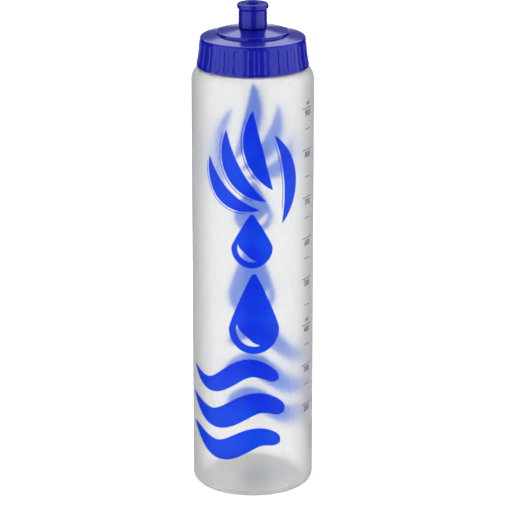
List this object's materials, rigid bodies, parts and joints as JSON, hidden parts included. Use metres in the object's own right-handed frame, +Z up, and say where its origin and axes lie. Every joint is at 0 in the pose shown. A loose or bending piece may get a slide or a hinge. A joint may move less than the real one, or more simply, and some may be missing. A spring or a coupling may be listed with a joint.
{
  "type": "sports squeeze bottle",
  "caption": "Tall cylindrical squeeze bottle with a fluted screw cap and a push-pull drinking nozzle; the cap unscrews and the nozzle slides up to open.",
  "frame": {"origin": "middle of the base, on the surface that the bottle stands on", "axes": "+Z up along the bottle's axis, -Y towards the front print, +X to the right of it"},
  "size_m": [0.073, 0.073, 0.2994],
  "materials": {
    "frosted_plastic": "satin",
    "cap_plastic": "satin",
    "nozzle_plastic": "satin",
    "seal_rubber": "matte",
    "front_print": "satin",
    "scale_print": "matte"
  },
  "bodies": {
    "bottle": {"bottle_body": "frosted_plastic"},
    "seal": {"cap_gasket": "seal_rubber"},
    "cap": {"screw_cap": "cap_plastic"},
    "nozzle": {"nozzle": "nozzle_plastic"}
  },
  "joints": [
    {"name": "cap_lift", "type": "slide", "parent": "bottle", "child": "seal", "axis": [0, 0, 1], "range_m": [0, 0.018]},
    {"name": "cap_turn", "type": "hinge", "parent": "seal", "child": "cap", "pos_m": [0, 0, 0.2602], "axis": [0, 0, 1], "range_deg": [0, 1080]},
    {"name": "nozzle_pull", "type": "slide", "parent": "cap", "child": "nozzle", "axis": [0, 0, 1], "range_m": [0, 0.0074]}
  ],
  "couplings": [
    {"joint": "cap_lift", "follows": "cap_turn", "m_per_rad": 0.0009549}
  ]
}
